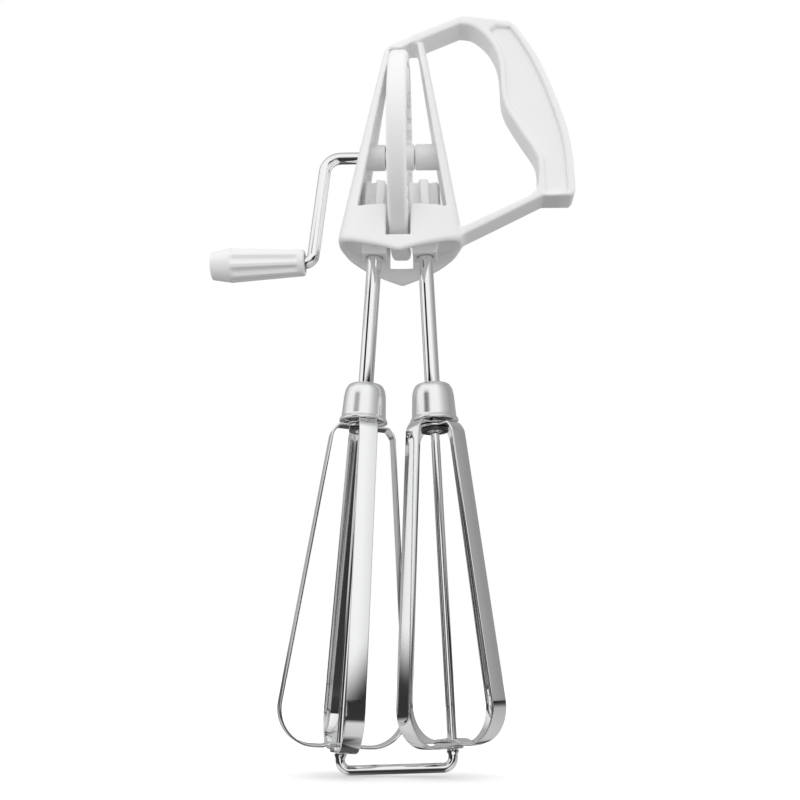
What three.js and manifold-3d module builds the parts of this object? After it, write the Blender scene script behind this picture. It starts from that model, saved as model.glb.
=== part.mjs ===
// Rotary egg beater: a moulded gear case with a D handle, a crank and crown wheel, and two whisking
// cages that two pinions turn in opposite directions round the legs of one bent foot wire.
// Millimetres, +Z up. The beater stands upright: the crank is on the -X side, the handle on the +X
// side, and the viewer looks along +Y. Heights are first counted from the underside of the foot wire,
// and the whole group is then moved so that its origin is the middle of the hand grip.

import * as THREE from 'three';
import { mergeVertices } from 'three/addons/utils/BufferGeometryUtils.js';
import Module from 'manifold-3d';

const wasm = await Module();
wasm.setup();

// Clearances shared by all pieces
const fit = 0.3;                // between two pieces that touch or run on each other
const overrun = 4;              // how far a cutter runs past what it cuts

// Foot wire
const wireRadius = 1.75;
const footBendRadius = 3.3;     // centre line of the two lower bends
const footRise = 1.7;           // the right end of the foot lies this much higher
const legSpread = THREE.MathUtils.degToRad(2.94);   // lean of each leg from the vertical
const crimpWidth = 0.6;         // how far the crimp under a washer stands out of the wire
const crimpHeight = 1.2;
const washerWidth = 2.2;
const washerThickness = 1;
const footToWasher = 8;         // left leg, wire underside to washer underside

// Beater cages
const stripWidth = 7.1;
const stripThickness = 0.9;
const cageRadius = 24;          // outside of the strips where the cage is widest
const cageShoulderRadius = 12.6;
const cageNeckRadius = 10;      // where the strips leave the flat under the bell
const cageHeight = 122.2;       // left cage, from its underside to the top of its upper eye
const shoulderDrop = 3.4;
const cornerRadius = 13.5;      // outside of the bottom corners
const bottomDish = 0.9;         // the strips' bottoms rise this much to the wire
const crossingRoom = 0.8;       // flat of a strip's bottom past the other strip's edge
const eyeRadius = 6.2;          // round ends of the strips, round the tube
const leftCageTurn = THREE.MathUtils.degToRad(15.5);
const rightCageTurn = THREE.MathUtils.degToRad(-44);
const quarterTurn = Math.PI / 2;

// Bells that cover the strips' eyes
const bellHeight = 15.3;
const bellWall = 0.8;
const bellRimRadius = 9.5;
const bellBodyRadius = 8.7;
const bellShoulderRadius = 7.95;
const bellNeckRadius = 5.6;
const bellLipHeight = 2.2;
const bellTaperShares = [0.55, 0.72];     // width and height where the bell's side turns in
const bellShoulderShare = 0.87;           // height of its shoulder

// Tubes and the rings on them
const tubeRadius = 3;
const bareTube = 54.5;          // free length between the bell and the guide block
const collarWidth = 1.3;
const collarThickness = 1.5;
const bushThickness = 2.6;
const clampWidth = 2.4;
const clampThickness = 1.2;

// Wheel and pinions
const wheelRadius = 43.2;
const rimWidth = 7.7;
const rimThickness = 4.5;
const rimEdge = 0.6;            // small chamfer along the rim's edges
const webThickness = 1.6;
const crownTeeth = 30;
const crownToothLength = 8.2;   // along the wheel's radius
const crownTipHalf = 0.5;       // half thickness of a crown tooth at its tip
const crownBaseHalf = 0.8;      // half thickness of a crown tooth at the web
const crownSink = 0.5;          // how deep a crown tooth is rooted in the web
const crownRoom = 1.9;          // between the crown teeth and the rim
const hubRadius = 5.4;
const hubHalfLength = 5.9;
const pinionTeeth = 6;
const pinionPhase = THREE.MathUtils.degToRad(9.5);    // turn of each pinion at rest, from a gap that faces the wheel
const pinionTipRadius = 7.75;
const pinionRootRadius = 5.3;
const pinionTipHalf = 1.85;     // half thickness of a pinion tooth at its tip
const pinionRootHalf = 1.8;     // half thickness of a pinion tooth at its root
const pinionLength = 22.8;
const meshClearance = 0.6;      // between a crown tooth's tip and the pinion's root
const lockRingWidth = 1.1;
const lockRingThickness = 1.2;
const lockRingRecess = 2.4;     // depth of the pinion's top recess

// Gear case
const wall = 2.8;
const guideWidth = 10;
const guideHeight = 5.6;
const deckThickness = 2.6;
const sideRoom = 5.25;          // between a pinion's tip circle and the case's side wall
const frontRoom = 7.75;         // between a pinion's tip circle and the case's front wall
const legRoom = 2.4;            // between the wheel's rim and the case's sides at the top
const topRoom = 5.7;            // between the wheel and the web over it
const webHeight = 4.2;          // of the web that closes the case at the top
const topSlope = 0.468;         // rise of the top edge per length along X
const lowShift = 0.3;           // the case's middle lies this far to +X of the wheel at the deck
const highShift = 1.7;          // and this far at the top
const lipDepth = 13.3;          // from the deck's top to the lowest point of the lip
const lipPowerLow = 2.3;        // roundness of the case's section at the deck
const lipPowerHigh = 4;         // and at the top
const slotRoom = 1;             // between the wheel's rim and the sides of its slots
const slotDrop = 0.3;           // the slots' floor lies this far under the wheel's lowest point
const skirtHeight = 8.2;        // of the front wall over the deck
const windowLowHalf = 17.9;
const windowHighHalf = 5.9;
const windowShift = 1.3;
const windowStepShare = 0.7;    // where the window's sloping top begins, as a share of its top half width
const bossRadius = 5.4;

// D handle
const handleReach = 72.1;       // from the wheel's middle plane to the grip's outer edge
const handleHeight = 105.2;
const handleDepth = 12.4;
const handleEdge = 1;           // bevel along the handle's edges
const handleLow = 3.3;          // the lower bar's end lies this far below the deck's top
const recessDepth = 1.3;        // of the shallow panel in each face of the grip
const gripCentreShares = [0.79, 0.54];
const handleStartShare = 0.5;   // the handle starts at this share of the case's top half width

// Crank
const crankRodRadius = 2.5;
const crankOut = 31.4;          // from the wheel's middle plane to the crank's upper corner
const crankDrop = 47.3;
const crankLean = THREE.MathUtils.degToRad(5.7);
const crankUpperBend = 6.8;
const crankLowerBend = 3.6;
const pinDroop = THREE.MathUtils.degToRad(1.6);
const gripLength = 38.6;
const gripInnerRadius = 5.4;
const gripWideRadius = 7.1;
const gripOuterRadius = 5.7;
const gripTip = 8;              // from the widest ring to the outer end
const gripEdge = 0.8;
const gripStandoff = 0.5;       // between the arm's outside and the grip, along the pin
const gripMouthWidth = 0.9;     // the bore opens by this much round the lower bend
const gripMouthDepth = 1.6;
const fluteCount = 8;
const fluteDepth = 0.75;
const fluteShares = [0.1, 0.2, 0.8, 0.9, 0.96];      // rings along the flutes, as shares of their length
const fluteFadeShare = 0.1;     // the flutes run out over this share of their length at each end
const gripRingWidth = 1.3;
const gripRingThickness = 1.2;
const gripRingSetback = 1.2;    // pin end past the lock ring
const plugRadius = 4.6;
const plugThickness = 2.2;

// Facets
const sides = {
  rod: 14, tube: 20, bell: 26, wheel: 60, grip: 40, cylinder: 28, section: 36, bend: 5, corner: 6, spline: 2, bevel: 1,
};

// Materials
const white = new THREE.MeshStandardMaterial({ color: 0xf2f2f0, roughness: 0.35, metalness: 0 });
const gearWhite = new THREE.MeshStandardMaterial({ color: 0xececea, roughness: 0.45, metalness: 0 });
const chrome = new THREE.MeshStandardMaterial({ color: 0xd9dbde, roughness: 0.1, metalness: 1 });
const satinSteel = new THREE.MeshStandardMaterial({ color: 0xcfd1d4, roughness: 0.28, metalness: 1 });
const bladeSteel = new THREE.MeshStandardMaterial({ color: 0xc9cbce, roughness: 0.18, metalness: 1 });
const bushPlastic = new THREE.MeshStandardMaterial({ color: 0xdcdcda, roughness: 0.5, metalness: 0 });

// Places worked out from the sizes
const alongLeg = (height) => height / Math.cos(legSpread);
const leftCageLow = footToWasher + washerThickness + fit - bottomDish;
const eyeTop = leftCageLow + cageHeight;
const bellRim = eyeTop + fit;
const bellTop = bellRim + bellHeight;
const guideLow = bellTop + bareTube;
const deckLow = guideLow + guideHeight;
const deckTop = deckLow + deckThickness;
const pinionLow = deckTop + fit + pinionTipRadius * Math.tan(legSpread);
const pinionTop = pinionLow + pinionLength;
const rimInner = wheelRadius - rimThickness;
const crownOuter = rimInner - crownRoom;
const crownInner = crownOuter - crownToothLength;
const axleHeight = pinionLow + crownOuter;
const meshHeight = axleHeight - (crownOuter + crownInner) / 2;
const meshX = rimWidth / 2 + meshClearance + pinionRootRadius;
const legX = meshX + meshHeight * Math.tan(legSpread);
const slotHalf = rimWidth / 2 + slotRoom;
const slotFloor = axleHeight - wheelRadius - slotDrop;
const windowLow = deckTop + skirtHeight;
const webLow = axleHeight + wheelRadius + topRoom;
const webTop = webLow + webHeight;
const lipLow = deckTop - lipDepth;
const handleBase = deckTop - handleLow;
const crossingHalf = stripWidth / 2 + crossingRoom;
const gripCentre = new THREE.Vector3(handleReach * gripCentreShares[0], 0,
  handleBase + handleHeight * gripCentreShares[1]);

// Half width, half depth, middle and roundness of the case's outside at the deck and at the web
const caseLow = {
  height: deckTop, halfWidth: meshX + pinionTipRadius + sideRoom + wall,
  halfDepth: pinionTipRadius + frontRoom + wall, shift: lowShift, power: lipPowerLow,
};
const caseHigh = {
  height: webLow, halfWidth: rimWidth / 2 + legRoom + wall,
  halfDepth: handleDepth / 2, shift: highShift, power: lipPowerHigh,
};

// Shares of the case's half width, and of the lip's depth, along the V shaped lower lip
const lipShares = [[0, 0], [0.58, 0.38], [0.87, 0.63], [1.02, 0.86], [1.25, 1.05]];

// Shares of the handle's reach and height: outside, inside and the panel in the grip
const topCornerShares = [[0.325, 0.99], [0.361, 1], [0.416, 0.998]];
const backShares = [[0.652, 0.972], [0.687, 0.95], [0.728, 0.905], [0.806, 0.811], [0.878, 0.687],
  [0.931, 0.573], [0.971, 0.469], [0.993, 0.352], [1, 0.229], [0.996, 0.199], [0.976, 0.183]];
const heelShares = [[0.817, 0.183], [0.325, 0.008]];
const lowerBarShares = [[0.325, 0.047], [0.742, 0.187]];
const fingerShares = [[0.779, 0.211], [0.796, 0.267], [0.793, 0.339], [0.767, 0.384], [0.723, 0.435],
  [0.667, 0.503], [0.63, 0.552], [0.605, 0.601], [0.594, 0.653], [0.592, 0.71], [0.587, 0.768],
  [0.57, 0.822], [0.535, 0.875], [0.484, 0.919], [0.424, 0.952], [0.355, 0.961]];
const panelOuterShares = [[0.569, 0.944], [0.652, 0.942], [0.699, 0.891], [0.768, 0.801], [0.838, 0.68],
  [0.89, 0.566], [0.929, 0.463], [0.95, 0.349], [0.956, 0.225], [0.954, 0.202]];
const panelInnerShares = [[0.84, 0.202], [0.835, 0.267], [0.832, 0.345], [0.804, 0.395], [0.759, 0.448],
  [0.705, 0.514], [0.667, 0.564], [0.641, 0.609], [0.63, 0.657], [0.627, 0.712], [0.623, 0.773],
  [0.606, 0.832], [0.574, 0.887], [0.54, 0.925]];

// Geometry helpers

// Keeps only positions, merges shared vertices and drops triangles without area.
function closed(geometry) {
  const bare = new THREE.BufferGeometry();
  bare.setAttribute('position', geometry.getAttribute('position').clone());
  if (geometry.index) bare.setIndex(geometry.index.clone());
  const merged = mergeVertices(bare);
  const corners = merged.index.array;
  const kept = [];
  for (let i = 0; i < corners.length; i += 3) {
    const [a, b, c] = [corners[i], corners[i + 1], corners[i + 2]];
    if (a !== b && b !== c && c !== a) kept.push(a, b, c);
  }
  merged.setIndex(kept);
  return merged;
}

function solid(geometry) {
  const body = closed(geometry);
  return new wasm.Manifold(new wasm.Mesh({
    numProp: 3,
    vertProperties: new Float32Array(body.getAttribute('position').array),
    triVerts: new Uint32Array(body.index.array),
  }));
}

function fromSolid(body) {
  const mesh = body.getMesh();
  const geometry = new THREE.BufferGeometry();
  geometry.setAttribute('position', new THREE.BufferAttribute(new Float32Array(mesh.vertProperties), 3));
  geometry.setIndex(new THREE.BufferAttribute(new Uint32Array(mesh.triVerts), 1));
  return geometry;
}

function joined(first, ...others) {
  return others.reduce((body, other) => body.add(other), first);
}

// A closed skin over rings of points; each ring runs counterclockwise seen from the last ring's side.
function lofted(rings) {
  const count = rings[0].length;
  const positions = rings.flat().flatMap((point) => [point.x, point.y, point.z]);
  const triangles = [];
  for (let ring = 0; ring + 1 < rings.length; ring++) {
    for (let i = 0; i < count; i++) {
      const next = (i + 1) % count;
      const [a, b] = [ring * count + i, ring * count + next];
      triangles.push(a, b, b + count, a, b + count, a + count);
    }
  }
  const lastRing = (rings.length - 1) * count;
  for (const [ring, start] of [[rings[0], 0], [rings.at(-1), lastRing]]) {
    const middle = ring.reduce((sum, point) => sum.add(point), new THREE.Vector3()).divideScalar(count);
    const hub = positions.length / 3;
    positions.push(middle.x, middle.y, middle.z);
    for (let i = 0; i < count; i++) {
      const [a, b] = [start + i, start + (i + 1) % count];
      triangles.push(...(start === 0 ? [hub, b, a] : [hub, a, b]));
    }
  }
  const geometry = new THREE.BufferGeometry();
  geometry.setAttribute('position', new THREE.Float32BufferAttribute(positions, 3));
  geometry.setIndex(triangles);
  return geometry;
}

// A round rod along points that lie in one plane of constant Y.
function rod(points, radius, count = sides.rod) {
  const across = new THREE.Vector3(0, 1, 0);
  const rings = points.map((point, i) => {
    const ahead = points[Math.min(i + 1, points.length - 1)].clone().sub(point).normalize();
    const behind = point.clone().sub(points[Math.max(i - 1, 0)]).normalize();
    const along = ahead.clone().add(behind).normalize();
    const up = along.clone().cross(across);
    const stretch = 1 / Math.max(along.dot(i + 1 < points.length ? ahead : behind), 0.5);
    return Array.from({ length: count }, (_, k) => {
      const angle = (k / count) * 2 * Math.PI;
      return point.clone()
        .addScaledVector(across, radius * Math.cos(angle))
        .addScaledVector(up, radius * stretch * Math.sin(angle));
    });
  });
  return lofted(rings);
}

// The corners of a line in the XZ plane, rounded by arcs of the given radii.
function rounded(corners, radii, steps = sides.bend) {
  const points = [corners[0].clone()];
  for (let i = 1; i + 1 < corners.length; i++) {
    const before = corners[i - 1].clone().sub(corners[i]).normalize();
    const after = corners[i + 1].clone().sub(corners[i]).normalize();
    const half = before.angleTo(after) / 2;
    const reach = radii[i - 1] / Math.tan(half);
    const bisector = before.clone().add(after).normalize();
    const centre = corners[i].clone().addScaledVector(bisector, radii[i - 1] / Math.sin(half));
    const start = corners[i].clone().addScaledVector(before, reach).sub(centre);
    const end = corners[i].clone().addScaledVector(after, reach).sub(centre);
    const turn = start.angleTo(end);
    for (let step = 0; step <= steps; step++) {
      const share = step / steps;
      points.push(centre.clone()
        .addScaledVector(start, Math.sin((1 - share) * turn) / Math.sin(turn))
        .addScaledVector(end, Math.sin(share * turn) / Math.sin(turn)));
    }
  }
  points.push(corners.at(-1).clone());
  return points;
}

// A body turned about Z from [radius, height] pairs that run up the outside and close on themselves.
function turned(profile, segments = sides.cylinder) {
  const points = [...profile, profile[0]].map(([radius, height]) => new THREE.Vector2(radius, height));
  return new THREE.LatheGeometry(points, segments).rotateX(quarterTurn);
}

function cylinder(radius, low, high, segments = sides.cylinder) {
  return turned([[0, low], [radius, low], [radius, high], [0, high]], segments);
}

function ring(inner, outer, low, high, segments = sides.tube) {
  return turned([[inner, low], [outer, low], [outer, high], [inner, high]], segments);
}

// A flat outline of [x, z] pairs, extruded to a depth centred on the XZ plane.
function outline(points) {
  return new THREE.Shape(points.map(([x, z]) => new THREE.Vector2(x, z)));
}

function acrossY(shape, depth, bevel = 0) {
  const geometry = new THREE.ExtrudeGeometry(shape, {
    depth: depth - 2 * bevel, steps: 1, curveSegments: sides.spline, bevelEnabled: bevel > 0,
    bevelThickness: bevel, bevelSize: bevel, bevelOffset: -bevel, bevelSegments: sides.bevel,
  });
  return geometry.translate(0, 0, bevel - depth / 2).rotateX(quarterTurn);
}

function box(width, depth, height, x, y, z) {
  return new THREE.BoxGeometry(width, depth, height).translate(x, y, z);
}

const model = new THREE.Group();
model.position.copy(gripCentre).negate();

function place(name, shape, material, parent = model) {
  const geometry = shape instanceof wasm.Manifold ? fromSolid(shape) : closed(shape);
  const mesh = new THREE.Mesh(geometry, material);
  mesh.name = name;
  parent.add(mesh);
  return mesh;
}

// Gear case and D handle, one white moulding

function caseRing(height, inset) {
  const share = (height - caseLow.height) / (caseHigh.height - caseLow.height);
  const at = (key) => THREE.MathUtils.lerp(caseLow[key], caseHigh[key], share);
  const power = 2 / Math.max(at('power'), 2);
  return Array.from({ length: sides.section }, (_, k) => {
    const angle = (k / sides.section) * 2 * Math.PI;
    const [c, s] = [Math.cos(angle), Math.sin(angle)];
    return new THREE.Vector3(
      at('shift') + (at('halfWidth') - inset) * Math.sign(c) * Math.abs(c) ** power,
      (at('halfDepth') - inset) * Math.sign(s) * Math.abs(s) ** power,
      height,
    );
  });
}

function caseLoft(low, high, inset, levels = 3) {
  const rings = [];
  for (let level = 0; level <= levels; level++) {
    rings.push(caseRing(THREE.MathUtils.lerp(low, high, level / levels), inset));
  }
  return solid(lofted(rings));
}

// Moves a shape from a leg's own frame, with Z along the leg, to the model's.
function onLeg(geometry, side) {
  return geometry.rotateY(-side * legSpread).translate(side * legX, 0, 0);
}

const handlePoint = ([x, z]) => new THREE.Vector2(x * handleReach, handleBase + z * handleHeight);

function handleShape() {
  const corner = topCornerShares.map(handlePoint);
  const start = caseHigh.halfWidth * handleStartShare;
  const startTop = Math.min(webTop + start * topSlope, corner[0].y);
  const shape = new THREE.Shape();
  shape.moveTo(start, startTop);
  shape.lineTo(corner[0].x, corner[0].y);
  shape.splineThru(corner.slice(1));
  const back = backShares.map(handlePoint);
  shape.lineTo(back[0].x, back[0].y);
  shape.splineThru(back.slice(1));
  for (const point of [...heelShares, ...lowerBarShares].map(handlePoint)) shape.lineTo(point.x, point.y);
  shape.splineThru(fingerShares.map(handlePoint));
  shape.lineTo(start, startTop - webHeight);
  return shape;
}

function panelCutter(face) {
  const shape = new THREE.Shape();
  const outer = panelOuterShares.map(handlePoint);
  shape.moveTo(outer[0].x, outer[0].y);
  shape.splineThru(outer.slice(1));
  const inner = panelInnerShares.map(handlePoint);
  shape.lineTo(inner[0].x, inner[0].y);
  shape.splineThru(inner.slice(1));
  const depth = recessDepth + overrun;
  return solid(acrossY(shape, depth).translate(0, face * (handleDepth / 2 - recessDepth + depth / 2), 0));
}

function lipCutter() {
  const rise = deckTop - lipLow;
  const right = lipShares.map(([x, z]) => [x * caseLow.halfWidth + lowShift, lipLow + z * rise]);
  const left = lipShares.slice(1).reverse()
    .map(([x, z]) => [-x * caseLow.halfWidth + lowShift, lipLow + z * rise]);
  const under = lipLow - overrun * 2;
  const points = [[left[0][0], under], [right.at(-1)[0], under], ...right.reverse(), ...left.reverse()];
  return solid(acrossY(outline(points), 4 * caseLow.halfDepth));
}

function frameMoulding() {
  const low = lipLow - overrun;
  const high = webTop + overrun * 2;
  const across = 4 * caseLow.halfDepth;
  const wide = 2 * caseLow.halfWidth;
  const topCut = outline([[-wide, webTop - wide * topSlope], [wide, webTop + wide * topSlope],
    [wide, high + wide], [-wide, high + wide]]);
  const outside = caseLoft(low, high, 0).subtract(solid(acrossY(topCut, across)));
  const inside = caseLoft(low - overrun, webLow - wall, wall);
  const window = outline([[windowShift - windowLowHalf, windowLow], [windowShift + windowLowHalf, windowLow],
    [windowShift + windowHighHalf, webLow + windowHighHalf * topSlope],
    [windowHighHalf * windowStepShare, webLow + windowHighHalf * topSlope], [0, webLow],
    [windowShift - windowHighHalf, webLow]]);
  const slot = box(2 * slotHalf, across, webLow - slotFloor, 0, 0, (webLow + slotFloor) / 2);
  let body = outside.add(solid(acrossY(handleShape(), handleDepth, handleEdge)));
  body = body.subtract(inside).subtract(lipCutter()).subtract(solid(acrossY(window, across)));

  // Deck that carries the pinions, with a guide block under it for each tube
  const slab = solid(box(2 * wide, across, deckThickness, 0, 0, deckLow + deckThickness / 2));
  body = body.add(outside.intersect(slab));
  for (const side of [-1, 1]) {
    const low = alongLeg(guideLow);
    const high = alongLeg(deckTop) - deckThickness / 2;
    const guide = box(guideWidth, guideWidth, high - low, 0, 0, (high + low) / 2);
    body = body.add(solid(onLeg(guide, side)));
  }
  body = body.subtract(solid(slot));

  // Bosses that carry the crank's rod on both sides of the wheel
  const bossStart = hubHalfLength + fit;
  for (const side of [-1, 1]) {
    const length = caseLow.halfWidth;
    const boss = cylinder(bossRadius, bossStart, bossStart + length).rotateY(side * quarterTurn);
    body = body.add(outside.intersect(solid(boss.translate(0, 0, axleHeight))));
  }
  const axleBore = cylinder(crankRodRadius + fit, -wide, axleEnd + fit).rotateY(quarterTurn);
  body = body.subtract(solid(axleBore.translate(0, 0, axleHeight)));

  // Bore and counterbore for each tube, its collar and its bush
  for (const side of [-1, 1]) {
    const bore = cylinder(tubeRadius + fit, alongLeg(guideLow) - overrun, alongLeg(deckTop) + overrun);
    const pocket = cylinder(tubeRadius + collarWidth + fit, collarLow - fit, alongLeg(deckTop) + overrun);
    body = body.subtract(solid(onLeg(bore, side))).subtract(solid(onLeg(pocket, side)));
  }
  return body.subtract(panelCutter(-1)).subtract(panelCutter(1));
}

// The pinion runs on the bush, and the collar lies under it
const bushLow = alongLeg(pinionLow) - fit - bushThickness;
const collarLow = bushLow - fit - collarThickness;

// The rod ends inside the right boss, in the thickness of the case's side
const axleShare = (axleHeight - caseLow.height) / (caseHigh.height - caseLow.height);
const axleEnd = THREE.MathUtils.lerp(caseLow.halfWidth, caseHigh.halfWidth, axleShare) - wall;

place('frame_moulding', frameMoulding(), white);

// Crown wheel: rim, web and hub turned in one, with radial teeth on both faces of the web

function crownTooth(face, turn) {
  const foot = webThickness / 2 - crownSink;
  const tip = rimWidth / 2;
  const section = outline([[-crownBaseHalf, foot], [crownBaseHalf, foot], [crownTipHalf, tip], [-crownTipHalf, tip]]);
  const tooth = new THREE.ExtrudeGeometry(section, { depth: crownToothLength, steps: 1, bevelEnabled: false });
  tooth.translate(0, 0, crownInner).rotateZ(-face * quarterTurn).rotateX(turn);
  return solid(tooth);
}

function crownWheel() {
  const half = rimWidth / 2;
  const web = webThickness / 2;
  const bore = crankRodRadius + fit;
  const profile = [[bore, -hubHalfLength], [hubRadius, -hubHalfLength], [hubRadius, -web],
    [rimInner, -web], [rimInner, -half], [wheelRadius - rimEdge, -half], [wheelRadius, rimEdge - half],
    [wheelRadius, half - rimEdge], [wheelRadius - rimEdge, half], [rimInner, half], [rimInner, web],
    [hubRadius, web], [hubRadius, hubHalfLength], [bore, hubHalfLength]];
  const pitch = (2 * Math.PI) / crownTeeth;
  const crownPhase = pinionPhase * pinionTeeth / crownTeeth;
  const teeth = [];
  for (let k = 0; k < crownTeeth; k++) {
    for (const face of [-1, 1]) teeth.push(crownTooth(face, k * pitch - face * crownPhase));
  }
  return joined(solid(turned(profile, sides.wheel).rotateY(quarterTurn)), ...teeth);
}

place('drive_wheel', crownWheel(), gearWhite).position.z = axleHeight;

// Crank: one bent rod for axle, arm and pin, with a fluted grip that spins on the pin

const armCorner = new THREE.Vector3(-crankOut, 0, axleHeight);
const pinCorner = new THREE.Vector3(-crankOut - crankDrop * Math.tan(crankLean), 0, axleHeight - crankDrop);
const pinDirection = new THREE.Vector3(-Math.cos(pinDroop), 0, -Math.sin(pinDroop));
const gripStart = crankRodRadius + gripStandoff;
const pinLength = gripLength - plugThickness - fit;
const pinEnd = pinCorner.clone().addScaledVector(pinDirection, gripStart + pinLength);
place('crank_rod', rod(rounded([new THREE.Vector3(axleEnd, 0, axleHeight), armCorner, pinCorner, pinEnd],
  [crankUpperBend, crankLowerBend]), crankRodRadius), chrome);

// The pieces on the pin share a frame with Z along the pin and zero at the grip's inner end
const pinFrame = new THREE.Group();
pinFrame.position.copy(pinCorner).addScaledVector(pinDirection, gripStart);
pinFrame.rotation.y = -quarterTurn - pinDroop;
model.add(pinFrame);

function gripRadius(along, angle) {
  const wide = gripLength - gripTip;
  const taper = THREE.MathUtils.lerp(gripInnerRadius, gripWideRadius, Math.min(along / wide, 1));
  const tip = THREE.MathUtils.lerp(gripWideRadius, gripOuterRadius, Math.max(along - wide, 0) / gripTip);
  const radius = along > wide ? tip : taper;
  const edge = Math.max(gripEdge - along, along - gripLength + gripEdge, 0);
  const share = THREE.MathUtils.clamp((along - 2 * gripEdge) / (wide - 2 * gripEdge), 0, 1);
  const fade = Math.min(Math.min(share, 1 - share) / fluteFadeShare, 1);
  const groove = (1 + Math.cos(fluteCount * angle)) / 2;
  return radius - edge - fluteDepth * fade * groove;
}

function crankGrip() {
  const wide = gripLength - gripTip;
  const stations = [0, gripEdge, 2 * gripEdge, ...fluteShares.map((share) => share * wide), wide,
    gripLength - gripEdge, gripLength];
  const rings = stations.map((along) => Array.from({ length: sides.grip }, (_, k) => {
    const angle = (k / sides.grip) * 2 * Math.PI;
    const radius = gripRadius(along, angle);
    return new THREE.Vector3(radius * Math.cos(angle), radius * Math.sin(angle), along);
  }));
  const bore = cylinder(crankRodRadius + fit, -overrun, gripLength, sides.tube);
  const pocket = cylinder(plugRadius + fit, gripRingLow - fit, gripLength + overrun, sides.tube);
  const mouth = cylinder(crankRodRadius + fit + gripMouthWidth, -overrun, gripMouthDepth, sides.tube);
  return solid(lofted(rings)).subtract(solid(bore)).subtract(solid(mouth)).subtract(solid(pocket));
}

const gripRingLow = pinLength - gripRingSetback - gripRingThickness;
place('crank_grip', crankGrip(), white, pinFrame);
place('grip_lock_ring', ring(crankRodRadius + fit, crankRodRadius + gripRingWidth, gripRingLow,
  gripRingLow + gripRingThickness), satinSteel, pinFrame);
place('grip_plug', cylinder(plugRadius, gripLength - plugThickness, gripLength, sides.tube), white, pinFrame);

// Foot wire: up one leg, along the foot and up the other, with its ends inside the pinions

const tubeBore = wireRadius + fit;
const wireTop = alongLeg(pinionTop) - lockRingRecess + fit + 2 * lockRingThickness;
const legPoint = (side, along) => new THREE.Vector3(
  side * (legX - along * Math.sin(legSpread)), 0, along * Math.cos(legSpread),
);
const cageLow = { left: alongLeg(leftCageLow), right: alongLeg(leftCageLow + footRise) };

function footWire() {
  const leftFoot = legPoint(-1, wireRadius);
  const rightFoot = legPoint(1, wireRadius + footRise);
  const corners = [legPoint(-1, wireTop), leftFoot, rightFoot, legPoint(1, wireTop)];
  let body = solid(rod(rounded(corners, [footBendRadius, footBendRadius]), wireRadius));
  for (const [side, low] of [[-1, cageLow.left], [1, cageLow.right]]) {
    const top = low + bottomDish - 2 * fit - washerThickness;
    const crimp = turned([[0, top - crimpHeight], [wireRadius, top - crimpHeight],
      [wireRadius + crimpWidth, top - crimpHeight / 2], [wireRadius + crimpWidth, top], [0, top]], sides.tube);
    body = body.add(solid(onLeg(crimp, side)));
  }
  return body;
}

place('foot_wire', footWire(), chrome);

// Everything on a leg is built in that leg's frame, with Z along the leg

// The outside of a cage strip from the middle of its bottom round to the neck, as [radius, height].
function stripHalf(low, inset) {
  const top = alongLeg(eyeTop) - inset;
  const floor = low + inset;
  const shoulder = top - shoulderDrop;
  const corner = cornerRadius;
  const centre = [cageRadius - corner, floor + corner];
  const points = [[0, floor + bottomDish], [crossingHalf, floor + bottomDish]];
  for (let step = 0; step <= sides.corner; step++) {
    const angle = -quarterTurn + (step / sides.corner) * quarterTurn;
    points.push([centre[0] + corner * Math.cos(angle), centre[1] + corner * Math.sin(angle)]);
  }
  points.push([cageShoulderRadius, shoulder], [cageNeckRadius, top], [0, top]);
  return points;
}

// The same line moved inwards by the strip's thickness.
function thinned(points, thickness) {
  return points.map(([x, z], i) => {
    const before = points[Math.max(i - 1, 0)];
    const after = points[Math.min(i + 1, points.length - 1)];
    const normal = (a, b) => {
      const length = Math.hypot(b[0] - a[0], b[1] - a[1]);
      return length > 0 ? [-(b[1] - a[1]) / length, (b[0] - a[0]) / length] : null;
    };
    const first = normal(before, [x, z]) ?? normal([x, z], after);
    const second = normal([x, z], after) ?? first;
    const mean = [first[0] + second[0], first[1] + second[1]];
    const scale = 2 * thickness / (mean[0] ** 2 + mean[1] ** 2);
    const atAxis = x === 0;
    return [atAxis ? 0 : x + mean[0] * scale, z + mean[1] * scale];
  });
}

function cageStrip(low, inset, turn) {
  const half = stripHalf(low, inset);
  const mirrored = (points) => [...points, ...points.slice(1, -1).reverse().map(([x, z]) => [-x, z])];
  const shape = outline(mirrored(half));
  shape.holes.push(new THREE.Path(mirrored(thinned(half, stripThickness)).map(([x, z]) => new THREE.Vector2(x, z))));
  const top = half.at(-1)[1];
  const eye = cylinder(eyeRadius, top - stripThickness, top, sides.tube);
  const tubeHole = cylinder(tubeRadius + fit, top - stripThickness - overrun, top + overrun, sides.tube);
  const wireHole = cylinder(tubeBore, low - overrun, low + bottomDish + 2 * overrun, sides.tube);
  const body = solid(acrossY(shape, stripWidth)).add(solid(eye));
  return fromSolid(body.subtract(solid(tubeHole)).subtract(solid(wireHole))).rotateZ(turn);
}

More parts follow.
